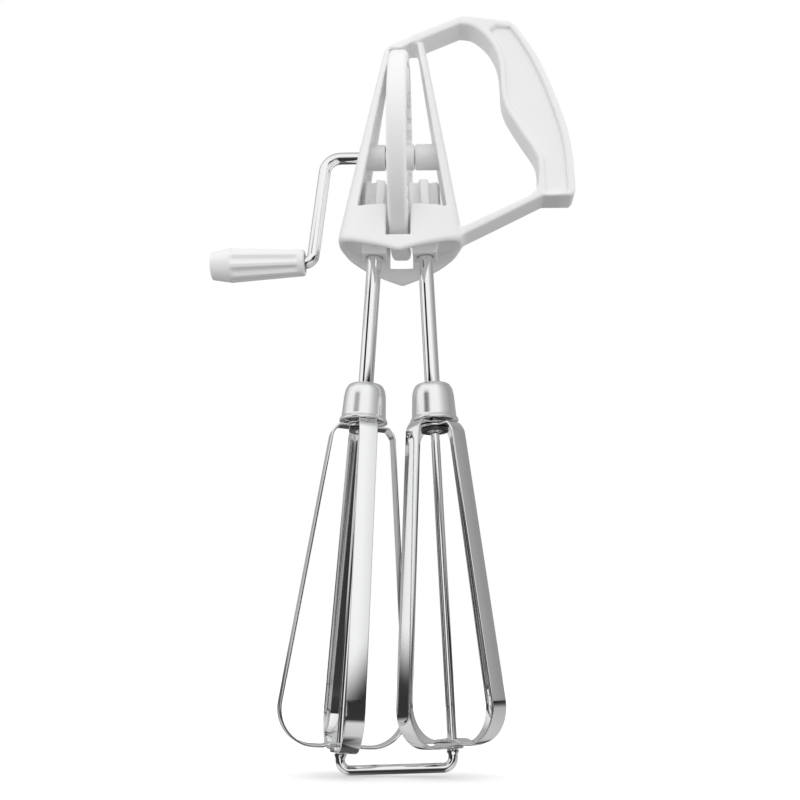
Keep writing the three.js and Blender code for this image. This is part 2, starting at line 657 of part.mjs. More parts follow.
function bell() {
  const low = alongLeg(bellRim);
  const high = alongLeg(bellTop);
  const height = high - low;
  const taper = THREE.MathUtils.lerp(bellShoulderRadius, bellBodyRadius, bellTaperShares[0]);
  const outside = [[bellRimRadius, low], [bellRimRadius, low + bellWall], [bellBodyRadius, low + bellLipHeight],
    [taper, low + bellTaperShares[1] * height], [bellShoulderRadius, low + bellShoulderShare * height],
    [(bellShoulderRadius + bellNeckRadius) / 2 + bellWall / 2, high - bellWall / 2], [bellNeckRadius, high]];
  const inside = outside.map(([radius, height], i) => [radius - bellWall,
    Math.min(height, high - bellWall) - (i > 3 ? bellWall / 2 : 0)]);
  inside[0][1] = low;
  inside[inside.length - 1][1] = high - bellWall;
  inside[inside.length - 2][1] = high - 1.5 * bellWall;
  const hole = tubeRadius + fit;
  return turned([...outside, [hole, high], [hole, high - bellWall], ...inside.reverse()], sides.bell);
}

function pinion() {
  const low = alongLeg(pinionLow);
  const high = alongLeg(pinionTop);
  const points = [];
  const tip = Math.asin(pinionTipHalf / pinionTipRadius);
  const root = Math.asin(pinionRootHalf / pinionRootRadius);
  for (let k = 0; k < pinionTeeth; k++) {
    const middle = ((k + 0.5) / pinionTeeth) * 2 * Math.PI + pinionPhase;
    for (const [angle, radius] of [[-root, pinionRootRadius], [-tip, pinionTipRadius], [tip, pinionTipRadius],
      [root, pinionRootRadius]]) {
      points.push([radius * Math.cos(middle + angle), radius * Math.sin(middle + angle)]);
    }
  }
  const teeth = new THREE.ExtrudeGeometry(outline(points), { depth: high - low, steps: 1, bevelEnabled: false });
  const bore = cylinder(tubeRadius + fit, low - overrun, high + overrun, sides.tube);
  const recess = cylinder(lockRingOuter + fit, high - lockRingRecess, high + overrun, sides.tube);
  return solid(teeth.translate(0, 0, low)).subtract(solid(bore)).subtract(solid(recess));
}

const lockRingOuter = wireRadius + fit + lockRingWidth + fit;
const lockRingLow = alongLeg(pinionTop) - lockRingRecess + fit;
const tubeTop = alongLeg(pinionTop) - lockRingRecess;
const clampTop = alongLeg(eyeTop) - 2 * stripThickness - 2 * fit;
const clampLow = clampTop - clampThickness;

for (const [name, side, turn] of [['left', -1, leftCageTurn], ['right', 1, rightCageTurn]]) {
  const leg = new THREE.Group();
  leg.position.x = side * legX;
  leg.rotation.y = -side * legSpread;
  model.add(leg);
  const low = cageLow[name];
  place(`pinion_${name}`, pinion(), gearWhite, leg);
  place(`tube_${name}`, ring(tubeBore, tubeRadius, clampLow, tubeTop), chrome, leg);
  place(`thrust_collar_${name}`, ring(tubeRadius + fit, tubeRadius + collarWidth, collarLow,
    collarLow + collarThickness), satinSteel, leg);
  place(`guide_bush_${name}`, ring(tubeRadius + fit, tubeRadius + collarWidth, bushLow,
    bushLow + bushThickness), bushPlastic, leg);
  place(`bell_${name}`, bell(), satinSteel, leg);
  place(`blade_outer_${name}`, cageStrip(low, 0, turn - quarterTurn), bladeSteel, leg);
  place(`blade_inner_${name}`, cageStrip(low, stripThickness + fit, turn), bladeSteel, leg);
  place(`clamp_ring_${name}`, ring(tubeRadius + fit, tubeRadius + clampWidth, clampLow, clampTop), satinSteel, leg);
  place(`wire_lock_ring_${name}`, ring(wireRadius + fit, lockRingOuter, lockRingLow,
    lockRingLow + lockRingThickness), satinSteel, leg);
  const washerTop = low + bottomDish - fit;
  place(`foot_washer_${name}`, ring(wireRadius + fit, wireRadius + washerWidth, washerTop - washerThickness,
    washerTop), satinSteel, leg);
}

export default model;
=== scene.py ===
import math

import bmesh
import bpy
import numpy as np
from mathutils import Matrix, Vector


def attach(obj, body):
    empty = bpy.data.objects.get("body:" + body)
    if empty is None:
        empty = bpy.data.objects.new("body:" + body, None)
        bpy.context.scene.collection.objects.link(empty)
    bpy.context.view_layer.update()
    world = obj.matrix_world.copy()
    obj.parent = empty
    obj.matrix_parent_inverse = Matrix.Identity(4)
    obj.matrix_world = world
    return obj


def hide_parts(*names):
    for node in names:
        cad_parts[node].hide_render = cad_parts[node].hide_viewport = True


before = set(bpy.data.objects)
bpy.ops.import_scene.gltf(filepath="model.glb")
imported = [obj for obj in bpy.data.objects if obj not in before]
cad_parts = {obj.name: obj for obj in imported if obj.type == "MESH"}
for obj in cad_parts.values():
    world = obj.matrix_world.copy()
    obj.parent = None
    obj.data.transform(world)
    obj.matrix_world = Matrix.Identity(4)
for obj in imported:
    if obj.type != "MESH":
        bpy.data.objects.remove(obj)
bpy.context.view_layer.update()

# Sizes in millimetres from the underside of the foot wire, with X = 0 in the wheel's middle plane.
ORIGIN = np.array([56.959, 0.0, 262.408])     # the row frame's origin: the middle of the hand grip
SPREAD = math.radians(2.94)                   # lean of each leg
LEG_X = 20.7251                               # where a leg's axis meets the ground plane
AXLE = 246.398                                # height of the wheel's axle
DECK_LOW, DECK_TOP = 206.3, 208.9
WEB_LOW, WEB_TOP = 295.298, 299.498           # the case's closed top at X = 0
TOP_SLOPE = 0.468
WALL = 2.8
HANDLE_LOW, HANDLE_REACH, HANDLE_HEIGHT, HANDLE_HALF = 205.6, 72.1, 105.2, 6.2
EYE_TOP = 130.772                             # the top of the strips' eyes, along a leg
CAGE_LOW = {-1: 8.411, 1: 10.113}             # the cages' undersides, along a leg
CAGE_TURN = {-1: math.radians(15.5), 1: math.radians(-44)}
SIDES = {-1: "left", 1: "right"}
CRANK_RADIUS, WIRE_RADIUS, TUBE_RADIUS = 2.5, 1.72, 3
GRIP_LENGTH = 38.6
TUBE_LOW, TUBE_TOP = 127.172, 230.291
ON_TUBE, ON_WIRE = 3.3, 2.05                  # radii of the holes that tubes and wire pass through
STRIP_WIDTH, STRIP = 7.1, 0.9                 # STRIP is the steel's thickness
PINION_TURN = 9.5                             # degrees, at rest
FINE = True


# Flat lines

def unit(v):
    """The vector with length 1."""
    return v / np.linalg.norm(v)


def eased(corners, radii, steps=6, closed=True):
    """A flat line with its corners rounded, each by an arc of its own radius."""
    corners = [np.array(c, float) for c in corners]
    count = len(corners)
    radii = np.broadcast_to(radii, count)
    points = []

    def room(i):
        """The share of a side that an arc may use, next to corner i."""
        return 0.99 if radii[i] == 0 else 0.495

    for i, corner in enumerate(corners):
        radius = radii[i]
        if radius == 0 or (not closed and i in (0, count - 1)):
            points.append(corner)
            continue
        before = corners[i - 1] - corner
        after = corners[(i + 1) % count] - corner
        a, b = unit(before), unit(after)
        angle = math.acos(np.clip(a @ b, -1, 1))
        if math.pi - angle < 0.01:
            points.append(corner)
            continue
        reach = min(radius / math.tan(angle / 2), room(i - 1) * np.linalg.norm(before),
                    room((i + 1) % count) * np.linalg.norm(after))
        radius = reach * math.tan(angle / 2)
        centre = corner + unit(a + b) * radius / math.sin(angle / 2)
        start, end = corner + a * reach - centre, corner + b * reach - centre
        turn = math.acos(np.clip(unit(start) @ unit(end), -1, 1))
        count_here = max(2, round(steps * turn / (math.pi / 2) + 1))
        for k in range(count_here + 1):
            share = k / count_here
            points.append(centre + start * math.sin((1 - share) * turn) / math.sin(turn)
                          + end * math.sin(share * turn) / math.sin(turn))
    return np.array(points)


def spline(points, steps=6):
    """A smooth line through all the points."""
    p = [np.array(q, float) for q in points]
    p = [p[0]] + p + [p[-1]]
    line = []
    for i in range(1, len(p) - 2):
        for k in range(steps):
            t = k / steps
            a, b = (p[i + 1] - p[i - 1]) / 2, (p[i + 2] - p[i]) / 2
            line.append((2 * t**3 - 3 * t**2 + 1) * p[i] + (t**3 - 2 * t**2 + t) * a
                        + (3 * t**2 - 2 * t**3) * p[i + 1] + (t**3 - t**2) * b)
    return line + [p[-2]]


def normals_of(line, closed=False):
    """Unit normals of a flat line, to the left of its run."""
    if closed:
        run = np.roll(line, -1, 0) - np.roll(line, 1, 0)
    else:
        run = np.gradient(line, axis=0)
    run /= np.linalg.norm(run, axis=1)[:, None]
    return np.stack([-run[:, 1], run[:, 0]], 1)


# Meshes from rings of points

def ring_faces(rows, count, wrap):
    """Faces between neighbouring rows of points, each row a ring of the same count."""
    faces = []
    for row in range(rows if wrap else rows - 1):
        low, high = row * count, ((row + 1) % rows) * count
        for k in range(count):
            n = (k + 1) % count
            faces.append((low + k, low + n, high + n, high + k))
    return faces


def turned(profile, count=96):
    """A body turned about Z from a closed line of [radius, height]; a radius may be an array round the turn."""
    angle = np.arange(count) / count * 2 * math.pi
    points = []
    for radius, height in profile:
        r = np.broadcast_to(np.asarray(radius, float), (count,))
        points.append(np.stack([r * np.cos(angle), r * np.sin(angle), np.full(count, float(height))], 1))
    return np.concatenate(points), ring_faces(len(profile), count, True)


def rod(path, radius, count=48, ear=None):
    """A round rod along [x, z] points in the plane of the legs, with eased ends, pinched flat where ear(path) says."""
    path = np.array(path)
    start, end = unit(path[1] - path[0]), unit(path[-2] - path[-1])
    ease = [(0.0, 0.4), (0.06, 0.2), (0.2, 0.06), (0.45, 0.0)]
    path = np.concatenate([[path[0] + start * a for a, _ in ease], path[1:-1],
                           [path[-1] + end * a for a, _ in reversed(ease)]])
    size = np.full(len(path), float(radius))
    size[:4] -= [b for _, b in ease]
    size[-4:] -= [b for _, b in reversed(ease)]
    wide = size if ear is None else size + 0.55 * ear(path)
    thin = size if ear is None else size - 0.25 * ear(path)
    up = normals_of(path)
    angle = np.arange(count) / count * 2 * math.pi
    points = []
    for centre, normal, w, t in zip(path, up, wide, thin):
        points.append(np.stack([centre[0] + normal[0] * w * np.sin(angle), t * np.cos(angle),
                                centre[1] + normal[1] * w * np.sin(angle)], 1))
    faces = ring_faces(len(points), count, False)
    last = (len(points) - 1) * count
    return np.concatenate(points), faces + [tuple(range(count)), tuple(range(last, last + count))]


def ribbon(line, width, thickness, ease=0.32):
    """A closed strip of steel along a closed line of [radius, height], its outside on the line."""
    inward = normals_of(line, closed=True)
    if np.cross(np.diff(line, axis=0), (line.mean(0) - line[:-1])).mean() < 0:
        inward = -inward
    section = eased([(-width / 2, 0), (width / 2, 0), (width / 2, thickness), (-width / 2, thickness)], ease, 4)
    points = []
    for (x, z), (nx, nz) in zip(line, inward):
        points.append(np.stack([x + nx * section[:, 1], section[:, 0], z + nz * section[:, 1]], 1))
    return np.concatenate(points), ring_faces(len(line), len(section), True)


def joined(*parts):
    """One part made of several."""
    points, faces, shift = [], [], 0
    for p, f in parts:
        points.append(p)
        faces += [tuple(i + shift for i in face) for face in f]
        shift += len(p)
    return np.concatenate(points), faces


def on_leg(part, side, turn=0.0):
    """Moves a part from a leg's own frame, with Z along the leg, to the whole object's."""
    points, faces = part
    x = points[:, 0] * math.cos(turn) - points[:, 1] * math.sin(turn)
    y = points[:, 0] * math.sin(turn) + points[:, 1] * math.cos(turn)
    z = points[:, 2]
    c, s = math.cos(SPREAD), math.sin(SPREAD)
    return np.stack([x * c - side * z * s + side * LEG_X, y, side * x * s + z * c], 1), faces


def mesh_of(part, name):
    """A clean mesh of a part, in metres in the row frame."""
    points, faces = part
    mesh = bpy.data.meshes.new(name)
    mesh.from_pydata(((np.asarray(points) - ORIGIN) / 1000).tolist(), [], [tuple(map(int, f)) for f in faces])
    work = bmesh.new()
    work.from_mesh(mesh)
    bmesh.ops.remove_doubles(work, verts=work.verts, dist=2e-7)
    bmesh.ops.dissolve_degenerate(work, edges=work.edges, dist=1e-7)
    bmesh.ops.recalc_face_normals(work, faces=work.faces)
    work.to_mesh(mesh)
    work.free()
    return mesh


def piece(node, part, body, material, crease=38):
    """A piece of the looks that stands for one CAD node."""
    mesh = part if isinstance(part, bpy.types.Mesh) else mesh_of(part, node + "_look")
    mesh.shade_smooth()
    if crease:
        mesh.set_sharp_from_angle(angle=math.radians(crease))
    mesh.materials.clear()
    mesh.materials.append(material)
    obj = bpy.data.objects.new(node + "_look", mesh)
    bpy.context.scene.collection.objects.link(obj)
    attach(obj, body)
    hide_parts(node)
    return obj


def worked(base, *steps):
    """A mesh after boolean steps, each a mesh to add or to cut."""
    holder = bpy.data.objects.new("work", base)
    bpy.context.scene.collection.objects.link(holder)
    tools = []
    for operation, tool in steps:
        other = bpy.data.objects.new("tool", tool)
        bpy.context.scene.collection.objects.link(other)
        tools.append(other)
        step = holder.modifiers.new(operation, "BOOLEAN")
        step.operation = operation
        step.solver = "EXACT"
        step.object = other
    result = bpy.data.meshes.new_from_object(holder.evaluated_get(bpy.context.evaluated_depsgraph_get()))
    for obj in [holder, *tools]:
        bpy.data.objects.remove(obj)
    return result


# Materials

def add(tree, kind, **values):
    """A shader node, with its settings and, as in_0, in_1 and so on, its inputs."""
    node = tree.nodes.new("ShaderNode" + kind)
    for name, value in values.items():
        if name.startswith("in_"):
            socket = node.inputs[int(name[3:])]
            if isinstance(value, bpy.types.NodeSocket):
                tree.links.new(value, socket)
            else:
                socket.default_value = value
        else:
            setattr(node, name, value)
    return node


def figure(tree, operation, *values):
    """The result of a Math node."""
    node = add(tree, "Math", operation=operation)
    for i, value in enumerate(values):
        if isinstance(value, bpy.types.NodeSocket):
            tree.links.new(value, node.inputs[i])
        else:
            node.inputs[i].default_value = value
    return node.outputs[0]


def ramp(tree, value, stops):
    """A level that follows a value from 0 to 1 through stops of (place, level)."""
    node = add(tree, "ValToRGB")
    tree.links.new(value, node.inputs[0])
    elements = node.color_ramp.elements
    elements[0].position, elements[1].position = 0, 1
    for place, _ in stops[1:-1]:
        elements.new(place)
    for element, (place, level) in zip(elements, stops):
        element.position = place
        element.color = (level, level, level, 1)
    return node.outputs[0]


def make_material(name, colour, metallic, rough, rough_change, scale, bump=0.0):
    """A finish whose roughness wanders a little and whose skin carries a fine grain."""
    material = bpy.data.materials.new(name)
    material.use_nodes = True
    tree = material.node_tree
    shader = tree.nodes["Principled BSDF"]
    shader.inputs["Base Color"].default_value = (*colour, 1)
    shader.inputs["Metallic"].default_value = metallic
    where = add(tree, "TexCoord").outputs["Object"]
    noise = add(tree, "TexNoise")
    tree.links.new(where, noise.inputs["Vector"])
    noise.inputs["Scale"].default_value = scale
    noise.inputs["Detail"].default_value = 4
    change = figure(tree, "MULTIPLY_ADD", noise.outputs[0], 2 * rough_change, rough - rough_change)
    tree.links.new(change, shader.inputs["Roughness"])
    if bump:
        grain = add(tree, "Bump")
        grain.inputs["Strength"].default_value = bump
        grain.inputs["Distance"].default_value = 0.00002
        tree.links.new(noise.outputs[0], grain.inputs["Height"])
        tree.links.new(grain.outputs[0], shader.inputs["Normal"])
    return material


white = make_material("white_plastic", (0.88, 0.883, 0.88), 0, 0.32, 0.04, 700, 0.25)
gear_white = make_material("gear_plastic", (0.91, 0.912, 0.91), 0, 0.42, 0.04, 700, 0.25)
bush_white = make_material("bush_plastic", (0.8, 0.8, 0.78), 0, 0.5, 0.04, 700, 0.25)
chrome_wire = make_material("chrome_wire", (0.95, 0.952, 0.955), 1, 0.035, 0.01, 500)
chrome_tube = make_material("chrome_tube", (0.95, 0.952, 0.955), 1, 0.03, 0.01, 500)
bell_steel = make_material("bell_steel", (0.93, 0.932, 0.935), 1, 0.22, 0.02, 500)
blade_steel = make_material("blade_steel", (0.93, 0.933, 0.936), 1, 0.06, 0.015, 500)
ring_steel = make_material("ring_steel", (0.8, 0.805, 0.81), 1, 0.25, 0.04, 500)
# The clamp rings' near-black metal is painted shade for the shadow under the bells. It is not a darker steel.
clamp_painted_shade = make_material("clamp_painted_shade", (0.12, 0.12, 0.12), 1, 0.4, 0.04, 500)


# Gear case and D handle: one skin, worked out as a distance field so that its walls meet in moulded fillets

LIP = [(0, 195.6), (14.82, 200.65), (22.23, 203.98), (26.06, 207.04), (31.94, 209.57), (60, 222)]
HANDLE_TOP = [(0.325, 0.99), (0.361, 1), (0.416, 0.998)]
BACK = [(0.652, 0.972), (0.687, 0.95), (0.728, 0.905), (0.806, 0.811), (0.878, 0.687), (0.931, 0.573),
        (0.971, 0.469), (0.993, 0.352), (1, 0.229), (0.996, 0.199), (0.976, 0.183)]
HEEL = [(0.817, 0.183), (0.325, 0.008), (0.325, 0.047), (0.742, 0.187)]
FINGERS = [(0.779, 0.211), (0.796, 0.267), (0.793, 0.339), (0.767, 0.384), (0.723, 0.435), (0.667, 0.503),
           (0.63, 0.552), (0.605, 0.601), (0.594, 0.653), (0.592, 0.71), (0.587, 0.768), (0.57, 0.822),
           (0.535, 0.875), (0.484, 0.919), (0.424, 0.952), (0.355, 0.961)]
PANEL_OUTER = [(0.569, 0.944), (0.652, 0.942), (0.699, 0.891), (0.768, 0.801), (0.838, 0.68), (0.89, 0.566),
               (0.929, 0.463), (0.95, 0.349), (0.956, 0.225), (0.954, 0.202)]
PANEL_INNER = [(0.84, 0.202), (0.835, 0.267), (0.832, 0.345), (0.804, 0.395), (0.759, 0.448), (0.705, 0.514),
               (0.667, 0.564), (0.641, 0.609), (0.63, 0.657), (0.627, 0.712), (0.623, 0.773), (0.606, 0.832),
               (0.574, 0.887), (0.54, 0.925)]


def on_handle(shares):
    """Points of the handle's outline from shares of its reach and height."""
    return [(x * HANDLE_REACH, HANDLE_LOW + z * HANDLE_HEIGHT) for x, z in shares]


def top_line(x):
    """Height of the case's sloping top."""
    return WEB_TOP + x * TOP_SLOPE


HANDLE_LINE = ([(4.525, top_line(4.525))] + on_handle(HANDLE_TOP[:1]) + spline(on_handle(HANDLE_TOP[1:]), 3)
               + spline(on_handle(BACK), 4) + on_handle(HEEL) + spline(on_handle(FINGERS), 3)
               + [(4.525, top_line(4.525) - 4.2)])
PANEL_LINE = (on_handle(PANEL_OUTER[:1]) + spline(on_handle(PANEL_OUTER[1:]), 3) + on_handle(PANEL_INNER[:1])
              + spline(on_handle(PANEL_INNER[1:]), 3))
WINDOW_LINE = eased([(-16.6, 218), (-9, 217.35), (1.3, 217.05), (11.6, 217.35), (19.2, 218), (7.2, 298.06),
                     (4.13, 298.06), (0, 295.3), (-4.6, 295.3)], [0.9, 0, 0, 0, 0.9, 1.5, 1, 2, 0.8], 4)


def flat_distance(x, z, line):
    """Signed distance in the XZ plane to a closed line, negative inside."""
    shape = np.broadcast(x, z).shape
    best = np.full(shape, 1e9, np.float32)
    inside = np.zeros(shape, bool)
    for (ax, az), (bx, bz) in zip(line, [*line[1:], line[0]]):
        ex, ez = bx - ax, bz - az
        t = np.clip(((x - ax) * ex + (z - az) * ez) / max(ex * ex + ez * ez, 1e-9), 0, 1)
        best = np.minimum(best, (x - ax - ex * t) ** 2 + (z - az - ez * t) ** 2)
        if abs(ez) > 1e-9:
            inside ^= ((az > z) != (bz > z)) & (x < ex * (z - az) / ez + ax)
    return np.where(inside, -1, 1) * np.sqrt(best)


def both(a, b, k=0.0):
    """The room inside both, with a rounded edge where they meet."""
    if np.isscalar(k) and k == 0:
        return np.maximum(a, b)
    h = np.maximum(k - np.abs(a - b), 0) / k
    return np.maximum(a, b) + h * h * k / 4


def either(a, b, k=0.0):
    """The room inside one or the other, with a fillet where they meet."""
    return -both(-a, -b, k)


def case_distance(x, y, z, inset):
    """Distance to the case's outside, an oval that gets rounder and smaller towards the top, moved in by the inset."""
    t = (z - DECK_TOP) / (WEB_LOW - DECK_TOP)
    wide = 25.55 + t * (9.05 - 25.55) - inset
    deep = 18.3 + t * (6.2 - 18.3) - inset
    power = np.maximum(2.3 + t * 1.7, 2)
    u = np.abs((x - 0.3 - 1.4 * t) / wide) + 1e-4
    v = np.abs(y / deep) + 1e-4
    g = (u**power + v**power) ** (1 / power)
    slope = np.hypot((u / g) ** (power - 1) / wide, (v / g) ** (power - 1) / deep)
    return (g - 1) / slope * 0.985


def leg_place(x, z, side):
    """Distance across and height along a leg of points in the whole object's frame."""
    c, s = math.cos(SPREAD), math.sin(SPREAD)
    across = x - side * LEG_X
    return across * c + side * z * s, -side * across * s + z * c


LIP_X = np.linspace(0, 60, 240)
LIP_Z = np.interp(LIP_X, *zip(*LIP))
smooth = np.exp(-(np.linspace(-3, 3, 25) ** 2) / 2)
LIP_Z = np.convolve(np.pad(LIP_Z, 12, mode="reflect", reflect_type="odd"), smooth / smooth.sum(), "valid")
LIP_Z[:4] = np.interp(LIP_X[:4], [0, LIP_X[4]], [195.75, LIP_Z[4]])
PANEL_RIGHT = on_handle([(1.5, 1.5), *[(x + 0.004, z) for x, z in PANEL_OUTER[1:]], (0.95, -0.3), (1.5, -0.3)])


def moulding(x, y, z):
    """Distance to the skin of the whole moulding, negative inside the plastic."""
    outside = case_distance(x, y, z, 0)
    lip = np.interp(np.abs(x - 0.3), LIP_X, LIP_Z)
    body = both(outside, (z - top_line(x)) / math.hypot(1, TOP_SLOPE), 0.8)
    flat = flat_distance(x, z, HANDLE_LINE)
    edge = 0.9
    a, b = flat + edge, np.abs(y) - HANDLE_HALF + edge
    handle = np.hypot(np.maximum(a, 0), np.maximum(b, 0)) + np.minimum(np.maximum(a, b), 0) - edge
    body = either(body, handle, np.interp(z, [225, 250], [2.2, 0.3]))
    inside = both(case_distance(x, y, z, WALL), z - (WEB_LOW - WALL), 2)
    body = both(body, -inside, 0.8)
    body = both(body, (lip - z) * 0.93, 1.9)
    window = flat_distance(x, z, WINDOW_LINE)
    body = both(body, -window, 0.7)
    deck = both(np.abs(z - (DECK_LOW + DECK_TOP) / 2) - (DECK_TOP - DECK_LOW) / 2, outside + 0.8)
    body = either(body, deck, 0.8)
    for side in (-1, 1):
        across, along = leg_place(x, z, side)
        block = both(both(np.abs(across) - 5, np.abs(y) - 5, 0.8),
                     both(200.964 - along, along - 208, 0.4), 0.6)
        body = either(body, block, 0.8)
    slot = both(np.abs(x) - 4.85, both(z - WEB_LOW, 202.9 - z))
    body = both(body, -slot, 0.8)
    from_axle = np.hypot(y, z - AXLE)
    boss = both(both(from_axle - 5.4, 6.2 - np.abs(x), 1.0), outside + 0.3)
    body = either(body, boss, 0.8)
    body = both(body, -both(from_axle - 2.8, x - 15.756), 0.5)
    for side in (-1, 1):
        across, along = leg_place(x, z, side)
        from_leg = np.hypot(across, y)
        body = both(body, -both(from_leg - ON_TUBE, both(199 - along, along - 211)), 0.4)
        body = both(body, -both(from_leg - 4.6, both(204.861 - along, along - 211)), 0.4)
    panel = flat_distance(x, z, PANEL_LINE)
    left = np.interp(flat_distance(x, z, PANEL_RIGHT), [0, 5], [0.5, 2.2])
    return both(body, -both(panel, 4.9 - np.abs(y), 0.4), left)


def skin(field, lows, highs, step):
    """The closed skin of a field that is alike on both sides of the XZ plane, one point per cell that it crosses."""
    x, z = (np.arange(lows[i], highs[i] + step, step, dtype=np.float32) for i in (0, 2))
    y = (np.arange(int(highs[1] / step) + 2, dtype=np.float32) + 0.5) * step
    value = field(x[:, None, None], y[None, :, None], z[None, None, :]).astype(np.float32)
    value = np.concatenate([value[:, ::-1], value], 1)
    start = np.array([x[0], -y[-1], z[0]])
    shape = np.array(value.shape) - 1
    total = np.zeros((*shape, 3), np.float32)
    number = np.zeros(shape, np.float32)
    crossings = []
    for axis in range(3):
        size = list(value.shape)
        size[axis] -= 1
        first = value[tuple(slice(0, n) for n in size)]
        cut = [slice(0, n) for n in size]
        cut[axis] = slice(1, None)
        second = value[tuple(cut)]
        at = np.argwhere((first < 0) != (second < 0))
        keep = np.all([(at[:, k] > 0) & (at[:, k] < value.shape[k] - 1) for k in range(3) if k != axis], 0)
        at = at[keep]
        a, b = first[tuple(at.T)], second[tuple(at.T)]
        point = at.astype(np.float32)
        point[:, axis] += a / (a - b)
        p, q = [k for k in range(3) if k != axis]
        cells = []
        for dp, dq in ((-1, -1), (0, -1), (0, 0), (-1, 0)):
            cell = at.copy()
            cell[:, p] += dp
            cell[:, q] += dq
            np.add.at(total, tuple(cell.T), point)
            np.add.at(number, tuple(cell.T), 1)
            cells.append(np.ravel_multi_index(tuple(cell.T), tuple(shape)))
        quad = np.stack(cells, 1)
        flip = (a < 0) ^ (axis == 1)
        quad[~flip] = quad[~flip][:, ::-1]
        crossings.append(quad)
    used = number > 0
    index = np.full(tuple(shape), -1)
    index[used] = np.arange(used.sum())
    points = start + total[used] / number[used][:, None] * step
    faces = index.ravel()[np.concatenate(crossings)]
    for _ in range(2):
        here = field(*points.T)
        slope = np.stack([(field(*(points + d).T) - here) / 0.01 for d in np.eye(3) * 0.01], 1)
        move = -here[:, None] * slope / np.maximum((slope**2).sum(1), 0.3)[:, None]
        far = np.linalg.norm(move, axis=1)
        points = points + move * np.minimum(1, 0.4 * step / np.maximum(far, 1e-6))[:, None]
    return points, faces


def skin_mesh(part, name, keep):
    """A mesh of a skin, thinned to a share of its faces."""
    points, faces = part
    mesh = bpy.data.meshes.new(name)
    mesh.from_pydata(((points - ORIGIN) / 1000).tolist(), [], faces.tolist())
    work = bmesh.new()
    work.from_mesh(mesh)
    bmesh.ops.recalc_face_normals(work, faces=work.faces)
    work.to_mesh(mesh)
    work.free()
    holder = bpy.data.objects.new("work", mesh)
    bpy.context.scene.collection.objects.link(holder)
    thinner = holder.modifiers.new("thinner", "DECIMATE")
    thinner.ratio = keep
    result = bpy.data.meshes.new_from_object(holder.evaluated_get(bpy.context.evaluated_depsgraph_get()))
    bpy.data.objects.remove(holder)
    return result


moulding_skin = skin(moulding, (-28.5, 0, 193.5), (73.5, 20, 312.5), 0.5 if FINE else 1.0)
piece("frame_moulding", skin_mesh(moulding_skin, "frame_moulding_look", 0.4), "frame", white,
      crease=0)


# Crown wheel, crank and its grip

def wheel():
    """The crown wheel: a rim, a web, a hub and a crown of teeth on each face."""
    half, web = 3.85, 0.8
    teeth, phase = 30, PINION_TURN / 5
    line = eased([(2.8, -5.9), (5.4, -5.9), (5.4, -web), (38.7, -web), (38.7, -half), (43.2, -half), (43.2, half),
                  (38.7, half), (38.7, web), (5.4, web), (5.4, 5.9), (2.8, 5.9)],
                 [0.3, 0.6, 1, 0.9, 0.6, 2, 2, 0.6, 0.9, 1, 0.6, 0.3])
    points, faces = turned(line, 240 if FINE else 96)
    parts = [(points[:, [2, 1, 0]] * (1, 1, -1), faces)]
    section = eased([(-0.8, web - 0.5), (0.8, web - 0.5), (0.5, half), (-0.5, half)], [0, 0, 0.35, 0.35], 4)
    n = len(section)
    for k in range(teeth):
        for face in (-1, 1):
            angle = math.radians(k * 360 / teeth - face * phase)
            rings = []
            for radius, shrink in ((28.6, 0.25), (28.9, 0), (36.5, 0), (36.8, 0.25)):
                width = section[:, 0] * (1 - shrink * 0.6)
                out = np.minimum(section[:, 1], half - shrink)
                rings.append(np.stack([face * out, -radius * math.sin(angle) + width * math.cos(angle),
                                       radius * math.cos(angle) + width * math.sin(angle)], 1))
            tooth = ring_faces(4, n, False) + [tuple(range(n)), tuple(range(3 * n, 4 * n))]
            parts.append((np.concatenate(rings), tooth))
    points, faces = joined(*parts)
    return points + (0, 0, AXLE), faces


piece("drive_wheel", wheel(), "crank", gear_white)

arm_corner = np.array([-31.4, AXLE])
pin_corner = np.array([-36.121, 199.098])
droop = math.radians(1.6)
pin_run = np.array([-math.cos(droop), -math.sin(droop)])
crank_line = eased([(15.456, AXLE), arm_corner, pin_corner, pin_corner + pin_run * 39.1], [0, 6.8, 3.6, 0], 16, False)
piece("crank_rod", rod(crank_line, CRANK_RADIUS), "crank", chrome_wire, 50)


def on_pin(part):
    """Moves a part from the pin's own frame, with Z along it and zero at the grip's inner end."""
    points, faces = part
    start = pin_corner + pin_run * 3
    c, s = -math.sin(droop), -math.cos(droop)
    x, y, z = points.T
    return np.stack([x * c + z * s + start[0], y, -x * s + z * c + start[1]], 1), faces


def grip():
    """The crank's grip, with eight grooves and a stepped bore."""
    count = 192
    angle = np.arange(count) / count * 2 * math.pi
    groove = np.clip(np.cos(8 * angle) * 0.62 + 0.42, 0, 1) ** 0.9
    line = eased([(4.9, GRIP_LENGTH), (5.7, GRIP_LENGTH), (7.1, 30.6), (5.4, 0), (3.7, 0)], [0.2, 1.1, 2.5, 1.2, 0.3],
                 8, False)
    line = line * (1, 0.9994)                 # the end stays just inside the CAD's box
    fine = []
    for a, b in zip(line[:-1], line[1:]):
        steps = max(1, round(np.linalg.norm(b - a) / 0.6))
        fine += [a + (b - a) * k / steps for k in range(steps)]
    fine.append(line[-1])
    outside = []
    for radius, z in fine:
        fade = np.clip(min((z - 2.2) / 2.6, (30.6 - z) / 3), 0, 1) if radius > 5 else 0
        fade = math.sin(fade * math.pi / 2)
        outside.append((radius - 0.95 * fade * groove, z))
    inside = eased([(3.7, 0), (3.7, 1.6), (2.8, 1.6), (2.8, 33.4), (4.9, 33.4), (4.9, GRIP_LENGTH)], 0.2, 3,
                   False)
    return turned(outside + [tuple(p) for p in inside[1:-1]], count)


piece("crank_grip", on_pin(grip()), "grip", white)
piece("grip_plug", on_pin(turned(eased([(0, 36.4), (4.6, 36.4), (4.6, 38.4), (2.5, 38.52), (0, 38.55)],
                                       [0, 0.2, 0.4, 3, 0]), 72)), "grip", white)


